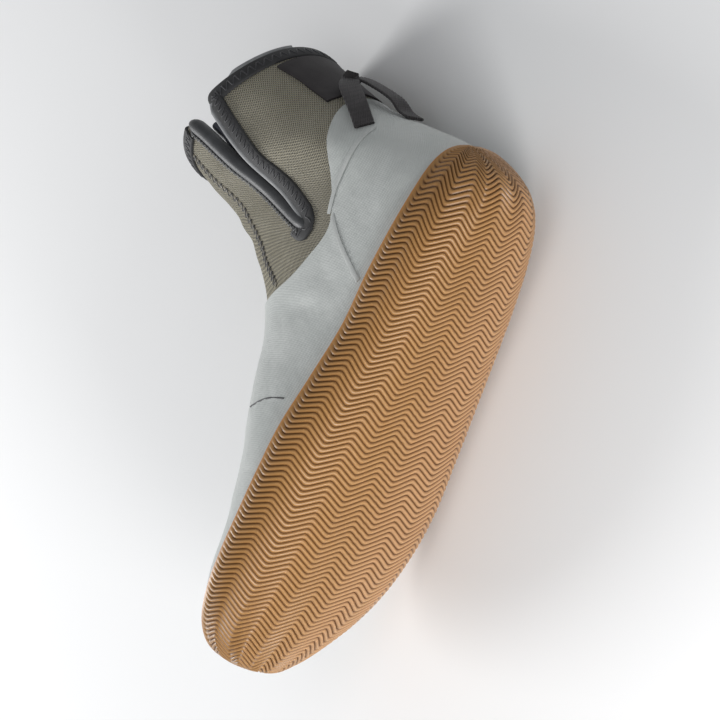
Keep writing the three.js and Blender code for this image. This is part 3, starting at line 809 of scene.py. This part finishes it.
def make_sole(shell):
    stations = np.linspace(0, 1, 2001)
    middle = sole_point(stations, 0.0)
    run = np.concatenate([[0], np.cumsum(np.linalg.norm(np.diff(middle, axis=0), axis=1))])
    ribs = int(run[-1] / RIB_PITCH)
    rows = ribs * RIB_ROWS + 1
    at = np.linspace(0, run[-1], rows)
    shares = np.linspace(0, 1, SOLE_ACROSS)
    dense = np.linspace(-np.pi / 2, np.pi / 2, 241)
    outer, height, across = [], [], []
    for i, place_on in enumerate(at):
        s = np.interp(place_on, run, stations)
        outline = sole_point(s, dense)
        length = np.concatenate([[0], np.cumsum(np.linalg.norm(np.diff(outline, axis=0), axis=1))])
        turn = np.interp(shares * length[-1], length, dense)
        calm = np.clip(min(place_on, run[-1] - place_on) / CALM_END, 0, 1)
        shifted = np.clip(place_on + ZIGZAG_REACH * calm * zigzag(shares), 0, run[-1])
        outer.append(sole_point(np.interp(shifted, run, stations), turn))
        edge = np.minimum(shares, 1 - shares) * length[-1]
        fade = np.clip((edge - RIM_BAND) / 1.5, 0, 1) * np.clip(calm * 3, 0, 1)
        height.append(RIB_PROFILE[i % RIB_ROWS] * RIB_DEPTH * fade)
        across.append(shares)
    outer, height, across = np.array(outer), np.array(height), np.array(across)
    along = np.gradient(outer, axis=0)
    over = np.gradient(outer, axis=1)
    normal = unit(np.cross(over, along))
    normal[normal[..., 2] > 0.3] *= -1
    core_y = np.clip(outer[:, 0, 1], *CORE_Y)
    core = np.stack([np.full(rows, CORE_X), core_y, np.full(rows, CORE_Z)], -1)
    facing = ((outer - core[:, None]) * normal).sum(-1, keepdims=True) < 0
    normal = np.where(facing, -normal, normal)
    crest = outer + normal * height[..., None]
    rim = shell_rim(outer, core, shell)
    inner_share = np.linspace(0, SOLE_ACROSS - 1, 10).astype(int)[1:-1]
    inner = outer[:, inner_share] - normal[:, inner_share] * SOLE_WALL
    rings = np.concatenate([crest, rim[:, 1:2], inner[:, ::-1], rim[:, 0:1]], 1)
    sole = add_loft("outsole_ribbed", rings, smooth_angle=75)
    make_outward(sole)
    count = rings.shape[1]
    # The groove layer holds the groove depth, which the rubber uses to paint shade into the grooves
    deep = np.zeros((rows, count))
    deep[:, :SOLE_ACROSS] = -height
    # The across layer sets where the rubber paints shade on the inner half and light on the outer half
    side = np.zeros((rows, count))
    side[:, :SOLE_ACROSS] = across
    edge_mark = np.ones((rows, count))
    band = np.minimum(across, 1 - across) * 160
    edge_mark[:, :SOLE_ACROSS] = np.clip(1 - band / RIM_BAND, 0, 1)
    for name, values in (("groove", deep), ("across", side), ("rim", edge_mark)):
        layer = sole.data.attributes.new(name, "FLOAT", "POINT")
        layer.data.foreach_set("value", values.reshape(-1).astype(np.float32))
    return sole


def shell_rim(outer, core, shell):
    """Inner ends of the sole's ledge, on the shell level with the rim."""
    ends = []
    for i in range(len(outer)):
        row = []
        for k in (0, -1):
            start = outer[i, k]
            aim = np.array([core[i, 0], core[i, 1], start[2]])
            ray = unit(aim - start)
            origin = (LAY @ (start - ray * 1.0) + SHOE_ORIGIN) / 1000
            hit = shell.ray_cast(Vector(origin), Vector(LAY @ ray), 0.02)[0]
            reach = 3.0
            if hit is not None:
                back = (np.array(hit) * 1000 - SHOE_ORIGIN) @ LAY
                reach = np.clip(np.linalg.norm(back - start) + 0.25, 1.2, 9.0)
            row.append(start + ray * reach + [0, 0, -0.6])
        ends.append(row)
    ends = np.array(ends)
    for _ in range(12):
        ends[1:-1] = (ends[:-2] + 2 * ends[1:-1] + ends[2:]) / 4
    return ends


# Materials
def new_material(name, roughness):
    material = bpy.data.materials.new(name)
    material.use_nodes = True
    nodes, links = material.node_tree.nodes, material.node_tree.links
    shader = nodes["Principled BSDF"]
    shader.inputs["Roughness"].default_value = roughness
    return material, nodes, links, shader


def ramp(nodes, stops):
    node = nodes.new("ShaderNodeValToRGB")
    while len(node.color_ramp.elements) < len(stops):
        node.color_ramp.elements.new(0.5)
    for element, (position, color) in zip(node.color_ramp.elements, stops):
        element.position = position
        element.color = (*color, 1)
    return node


def noise(nodes, links, vector, scale, detail=3.0):
    node = nodes.new("ShaderNodeTexNoise")
    node.inputs["Scale"].default_value = scale
    node.inputs["Detail"].default_value = detail
    links.new(vector, node.inputs["Vector"])
    return node.outputs["Fac"]


def mix(nodes, links, kind, share, one, two):
    node = nodes.new("ShaderNodeMix")
    node.data_type = "RGBA"
    node.blend_type = kind
    for value, socket in ((share, node.inputs[0]), (one, node.inputs[6]), (two, node.inputs[7])):
        if hasattr(value, "is_linked"):
            links.new(value, socket)
        elif isinstance(value, tuple):
            socket.default_value = (*value, 1)
        else:
            socket.default_value = value
    return node.outputs[2]


def maths(nodes, links, kind, one, two=0.0):
    node = nodes.new("ShaderNodeMath")
    node.operation = kind
    for value, socket in ((one, node.inputs[0]), (two, node.inputs[1])):
        if hasattr(value, "is_linked"):
            links.new(value, socket)
        else:
            socket.default_value = value
    return node.outputs[0]


def darken(nodes, links, pattern, amount, base, tint):
    """The base colour times a tint, as far as the pattern says."""
    share = maths(nodes, links, "MULTIPLY", pattern, amount)
    return mix(nodes, links, "MULTIPLY", share, base, tint)


def bump(nodes, links, shader, height, distance, strength=1.0, before=None):
    node = nodes.new("ShaderNodeBump")
    node.inputs["Distance"].default_value = distance
    node.inputs["Strength"].default_value = strength
    links.new(height, node.inputs["Height"])
    if before is not None:
        links.new(before, node.inputs["Normal"])
    links.new(node.outputs[0], shader.inputs["Normal"])
    return node.outputs[0]


def position(nodes):
    return nodes.new("ShaderNodeNewGeometry").outputs["Position"]


def attribute(nodes, name):
    node = nodes.new("ShaderNodeAttribute")
    node.attribute_name = name
    return node.outputs["Fac"]


def stripes(nodes, links, vector, direction, pitch):
    """Even stripes square to a direction, from -1 to 1."""
    dot = nodes.new("ShaderNodeVectorMath")
    dot.operation = "DOT_PRODUCT"
    links.new(vector, dot.inputs[0])
    way = Vector(direction).normalized() * (2 * math.pi / pitch)
    dot.inputs[1].default_value = way
    return maths(nodes, links, "SINE", dot.outputs["Value"])


def uv_vector(nodes):
    return nodes.new("ShaderNodeUVMap").outputs["UV"]


def rubber():
    material, nodes, links, shader = new_material("gum_rubber", 0.42)
    groove, across, rim = (attribute(nodes, n) for n in ("groove", "across", "rim"))
    where = position(nodes)
    patchy = noise(nodes, links, where, 26)
    # Painted light across the sole: the inner half is painted darker as shade, the outer half paler as
    # light
    shaded_inner_half = [(0.0, (0.36, 0.18, 0.05)), (0.45, (0.38, 0.20, 0.068))]
    lit_outer_half = [(0.65, (0.46, 0.255, 0.115)), (1.0, (0.56, 0.335, 0.18))]
    tone = ramp(nodes, shaded_inner_half + lit_outer_half)
    links.new(across, tone.inputs[0])
    base = darken(nodes, links, patchy, 0.35, tone.outputs[0], (0.72, 0.66, 0.58))
    fine = noise(nodes, links, where, 900, 2.0)
    base = darken(nodes, links, fine, 0.25, base, (0.8, 0.76, 0.7))
    # Painted shade in the grooves: the deeper the groove, the nearer the colour goes to dark brown
    groove_shade = maths(nodes, links, "MULTIPLY", groove, 1.0)
    base = mix(nodes, links, "MIX", groove_shade, base, (0.10, 0.040, 0.012))
    base = mix(nodes, links, "MIX", maths(nodes, links, "MULTIPLY", rim, 0.85), base, (0.52, 0.215, 0.055))
    links.new(base, shader.inputs["Base Color"])
    rough = ramp(nodes, [(0.3, (0.36, 0.36, 0.36)), (0.7, (0.52, 0.52, 0.52))])
    links.new(noise(nodes, links, where, 120), rough.inputs[0])
    links.new(rough.outputs[0], shader.inputs["Roughness"])
    shader.inputs["Specular IOR Level"].default_value = 0.55
    bump(nodes, links, shader, fine, 0.00006)
    return material


def coated_cloth():
    material, nodes, links, shader = new_material("coated_cloth", 0.55)
    where = position(nodes)
    twill = stripes(nodes, links, where, (0.45, 0.75, 0.48), 0.00085)
    weft = stripes(nodes, links, where, (0.5, -0.62, 0.6), 0.00062)
    weave = maths(nodes, links, "ADD", twill, maths(nodes, links, "MULTIPLY", weft, 0.6))
    patchy = noise(nodes, links, where, 34)
    tone = ramp(nodes, [(0.3, (0.50, 0.525, 0.505)), (0.7, (0.56, 0.58, 0.56))])
    links.new(patchy, tone.inputs[0])
    share = maths(nodes, links, "MULTIPLY", maths(nodes, links, "ADD", weave, 1.6), 0.05)
    base = mix(nodes, links, "MULTIPLY", share, tone.outputs[0], (0.6, 0.62, 0.62))
    fine = noise(nodes, links, where, 1500, 2.0)
    base = darken(nodes, links, fine, 0.2, base, (0.7, 0.7, 0.7))
    links.new(base, shader.inputs["Base Color"])
    shader.inputs["Sheen Weight"].default_value = 0.25
    shader.inputs["Sheen Roughness"].default_value = 0.4
    shader.inputs["Coat Weight"].default_value = 0.08
    shader.inputs["Coat Roughness"].default_value = 0.35
    soft = noise(nodes, links, where, 60)
    first = bump(nodes, links, shader, soft, 0.0016, 0.7)
    bump(nodes, links, shader, weave, 0.00004, 1.0, first)
    return material


def knit_cloth():
    material, nodes, links, shader = new_material("knit_cloth", 0.85)
    where = position(nodes)
    uv = uv_vector(nodes)
    one = stripes(nodes, links, uv, (0.86, 0.5, 0), 1.15)
    two = stripes(nodes, links, uv, (-0.86, 0.5, 0), 1.15)
    loops = maths(nodes, links, "ADD", one, two)
    patchy = noise(nodes, links, where, 40)
    tone = ramp(nodes, [(0.3, (0.34, 0.305, 0.205)), (0.7, (0.46, 0.42, 0.30))])
    links.new(patchy, tone.inputs[0])
    holes = ramp(nodes, [(0.0, (1, 1, 1)), (0.34, (0.95, 0.95, 0.95)), (0.6, (0, 0, 0))])
    links.new(maths(nodes, links, "MULTIPLY", maths(nodes, links, "ADD", loops, 2.0), 0.4), holes.inputs[0])
    base = mix(nodes, links, "MIX", holes.outputs[0], tone.outputs[0], (0.045, 0.036, 0.022))
    fleck = noise(nodes, links, where, 1800, 2.0)
    base = darken(nodes, links, fleck, 0.5, base, (0.55, 0.55, 0.55))
    links.new(base, shader.inputs["Base Color"])
    shader.inputs["Sheen Weight"].default_value = 0.3
    bump(nodes, links, shader, loops, 0.0003)
    return material


def plain_cloth(name, color, other, roughness, sheen, grain, scale, coat=0.0, lines=0.0):
    material, nodes, links, shader = new_material(name, roughness)
    where = position(nodes)
    tone = ramp(nodes, [(0.35, color), (0.65, other)])
    links.new(noise(nodes, links, where, 130), tone.inputs[0])
    fine = noise(nodes, links, where, scale, 2.0)
    base = darken(nodes, links, fine, 0.6, tone.outputs[0], (0.4, 0.4, 0.4))
    links.new(base, shader.inputs["Base Color"])
    shader.inputs["Sheen Weight"].default_value = sheen
    shader.inputs["Coat Weight"].default_value = coat
    shader.inputs["Coat Roughness"].default_value = 0.2
    height = fine
    if lines:
        height = maths(nodes, links, "ADD", stripes(nodes, links, where, (0.6, 0.3, 0.74), lines), fine)
    bump(nodes, links, shader, height, grain)
    return material


def dress(piece, material):
    piece.data.materials.clear()
    piece.data.materials.append(material)
    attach(piece, "root")


SHAFT_MIDDLE = 68
SHAFT_RADIUS = 42
KNIT_SLANT = 0.25


def shaft_uv(piece):
    """Flat coordinates in millimetres: round the shaft's middle, and height."""
    mesh = piece.data
    count = len(mesh.vertices)
    flat = np.empty(count * 3)
    mesh.vertices.foreach_get("co", flat)
    shoe = (flat.reshape(-1, 3) * 1000 - SHOE_ORIGIN) @ LAY
    angle = np.arctan2(shoe[:, 1] - SHAFT_MIDDLE, shoe[:, 0])
    corner = np.empty(len(mesh.loops), int)
    mesh.loops.foreach_get("vertex_index", corner)
    start = np.empty(len(mesh.polygons), int)
    total = np.empty(len(mesh.polygons), int)
    mesh.polygons.foreach_get("loop_start", start)
    mesh.polygons.foreach_get("loop_total", total)
    first = np.repeat(angle[corner[start]], total)
    at = angle[corner]
    at = at + 2 * np.pi * np.round((first - at) / (2 * np.pi))
    layer = mesh.uv_layers.new(name="UVMap")
    uv = np.stack([at * SHAFT_RADIUS, shoe[corner, 2] + KNIT_SLANT * shoe[corner, 1]], -1)
    layer.data.foreach_set("uv", uv.reshape(-1).astype(np.float32))


def tree_of(piece):
    return BVHTree.FromObject(piece, bpy.context.evaluated_depsgraph_get())


# The studio, in metres
FLOOR_SIZE = 12
FLOOR_DROP = 0.0002
WORLD_STRENGTH = 0.36


def make_studio():
    bpy.ops.mesh.primitive_plane_add(size=FLOOR_SIZE, location=(0, 0, -FLOOR_DROP))
    floor = bpy.context.object
    floor.name = "studio_floor"
    material, nodes, links, shader = new_material("studio_white", 0.85)
    shader.inputs["Base Color"].default_value = (0.86, 0.86, 0.86, 1)
    floor.data.materials.append(material)
    world = bpy.data.worlds.new("studio_light")
    bpy.context.scene.world = world
    world.use_nodes = True
    background = world.node_tree.nodes["Background"]
    background.inputs["Color"].default_value = (0.95, 0.97, 1.0, 1)
    background.inputs["Strength"].default_value = WORLD_STRENGTH
    bpy.context.scene.view_settings.view_transform = "Standard"


def view_axes():
    """Right, down and towards the camera, in the row frame."""
    sp, cp = math.sin(VIEW_TURN), math.cos(VIEW_TURN)
    ss, cs = math.sin(VIEW_PITCH), math.cos(VIEW_PITCH)
    sr, cr = math.sin(VIEW_ROLL), math.cos(VIEW_ROLL)
    a = np.array([-sp * ss, cs, -cp * ss])
    p = np.array([cp, 0, -sp])
    back = np.array([-sp * cs, -ss, -cp * cs])
    right = -sr * a + cr * p
    down = cr * a + sr * p
    return (LAY @ right, LAY @ down, LAY @ back), right * VIEW_RIGHT + down * VIEW_DOWN


def make_camera():
    (right, down, back), middle = view_axes()
    focus = (LAY @ middle + back * VIEW_DEPTH + SHOE_ORIGIN) / 1000
    data = bpy.data.cameras.new("camera")
    camera = bpy.data.objects.new("camera", data)
    bpy.context.collection.objects.link(camera)
    data.sensor_width = SENSOR
    data.lens = SENSOR * VIEW_DISTANCE / VIEW_WIDTH
    data.clip_end = 40
    turn = Matrix([[right[i], -down[i], back[i]] for i in range(3)])
    spot = Vector(focus + back * VIEW_DISTANCE / 1000)
    camera.matrix_world = Matrix.Translation(spot) @ turn.to_4x4()
    bpy.context.scene.camera = camera
    return Vector(focus), Vector(back)


def add_light(name, spot, target, size, power_w):
    data = bpy.data.lights.new(name, "AREA")
    data.shape = "DISK"
    data.size = size
    data.energy = power_w
    light = bpy.data.objects.new(name, data)
    bpy.context.collection.objects.link(light)
    light.location = spot
    light.rotation_mode = "QUATERNION"
    light.rotation_quaternion = (target - spot).to_track_quat("-Z", "Y")


# Where the lamps stand from the boot, in metres of the row frame
KEY_SPOT = (0.75, 0.75, 0.45)
SIDE_SPOT = (-0.95, 0.15, 0.25)
FILL_REACH = 0.7
SIDE_WATTS = 9
FILL_WATTS = 2.0


def make_lights(focus, back):
    add_light("key_left", focus + Vector(KEY_SPOT), focus, 0.5, SIDE_WATTS)
    add_light("side_right", focus + Vector(SIDE_SPOT), focus, 0.45, SIDE_WATTS)
    above = focus + back * FILL_REACH + Vector((0, 0, FILL_REACH))
    add_light("fill_top", above, focus, 0.9, FILL_WATTS)


def build():
    upper = make_upper()
    shaft_uv(upper)
    skin = tree_of(upper)
    shell = make_shell()
    shell_tree = tree_of(shell)
    sole = make_sole(shell_tree)
    dress(sole, rubber())
    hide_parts("outsole")
    dress(upper, knit_cloth())
    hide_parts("upper")
    dress(shell, coated_cloth())
    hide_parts("foot_shell")
    charcoal = plain_cloth(
        "charcoal_tape", (0.016, 0.016, 0.017), (0.028, 0.028, 0.03), 0.7, 0.08, 0.00012, 1400
    )
    thread = plain_cloth("pale_thread", (0.15, 0.15, 0.15), (0.24, 0.24, 0.235), 0.6, 0.2, 0.00004, 2500)
    dark_thread = plain_cloth(
        "dark_thread", (0.018, 0.018, 0.022), (0.03, 0.03, 0.036), 0.55, 0.2, 0.00004, 2500
    )
    binding, binding_thread, piping = make_binding()
    pale_roll = plain_cloth("pale_roll", (0.20, 0.205, 0.21), (0.30, 0.305, 0.31), 0.6, 0.2, 0.0001, 1300)
    dress(piping, pale_roll)
    dress(binding, charcoal)
    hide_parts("binding")
    dress(binding_thread, dark_thread)
    roll, welt, lip_thread = make_lip()
    lip_cloth = plain_cloth(
        "lip_cloth", (0.03, 0.032, 0.035), (0.052, 0.054, 0.058), 0.5, 0.15, 0.00012, 1300
    )
    dress(roll, lip_cloth)
    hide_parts("lip_roll")
    dress(welt, lip_cloth)
    dress(lip_thread, thread)
    gusset = make_gusset()
    navy = plain_cloth(
        "navy_stretch", (0.012, 0.016, 0.03), (0.022, 0.03, 0.05), 0.35, 0.3, 0.0002, 700, coat=0.5
    )
    dress(gusset, navy)
    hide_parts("gusset")
    tape = make_tape(skin)
    plum = plain_cloth(
        "plum_tape", (0.016, 0.012, 0.013), (0.024, 0.019, 0.02), 0.72, 0.05, 0.00006, 1800
    )
    dress(tape, plum)
    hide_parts("back_tape")
    strap = make_strap()
    webbing = plain_cloth(
        "plum_webbing", (0.019, 0.015, 0.016), (0.033, 0.027, 0.028), 0.6, 0.12, 0.0001, 1500,
        lines=0.0012,
    )
    dress(strap, webbing)
    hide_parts("pull_strap")
    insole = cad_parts["insole"]
    insole.data.materials.clear()
    bed_cloth = plain_cloth(
        "insole_cloth", (0.02, 0.02, 0.024), (0.035, 0.035, 0.04), 0.9, 0.2, 0.0002, 900
    )
    insole.data.materials.append(bed_cloth)
    seams(thread, dark_thread)


def seams(thread, dark_thread):
    """Stitched seams of the shaft's front and the foot shell, with a painted highlight on the shell seams
    and a painted shadow line at the toe panel's edge.
    """
    front = ((92, 212), (95, 190), (99, 166), (107, 142), (114, 120), (117, 104))
    points, normals = face_line(front)
    bead = add_sweep("front_seam", points, normals, round_profile(1.5, 0.5, 8, (0, 0.1)))
    dress(bead, thread_tape())
    stitches = add_stitches("front_seam_thread", points, normals, -2.4, 2.4, 0.5, 2.1, 0.27)
    dress(stitches, dark_thread)
    # The shell seams' ridges are painted paler than the shell: a painted highlight along each seam
    seam_cloth = plain_cloth("seam_painted_highlight", (0.55, 0.57, 0.55), (0.61, 0.63, 0.61), 0.5, 0.2, 0.00008, 1300)
    low_ridge = round_profile(1.5, 0.2, 8, (0, GAP + SHELL + 0.12))
    for number in SEAM_CREASES:
        points, normals = face_line(CREASES[number][0])
        ridge = add_sweep(f"shell_seam_{number + 1}", points, normals, low_ridge)
        dress(ridge, seam_cloth)
    # A thin dark bead along the toe panel's edge: a painted shadow line for the gap where the two panels
    # overlap
    points, normals = face_line(CREASES[PANEL_CREASE][0])
    painted_shadow_line = round_profile(0.5, 0.35, 6, (0, GAP + SHELL + 0.35))
    line = add_sweep("toe_panel_shadow_line", points, normals, painted_shadow_line)
    dress(line, dark_thread)


def thread_tape():
    return plain_cloth("seam_cloth", (0.16, 0.14, 0.10), (0.22, 0.195, 0.145), 0.8, 0.3, 0.0001, 1500)


make_studio()
make_lights(*make_camera())
build()
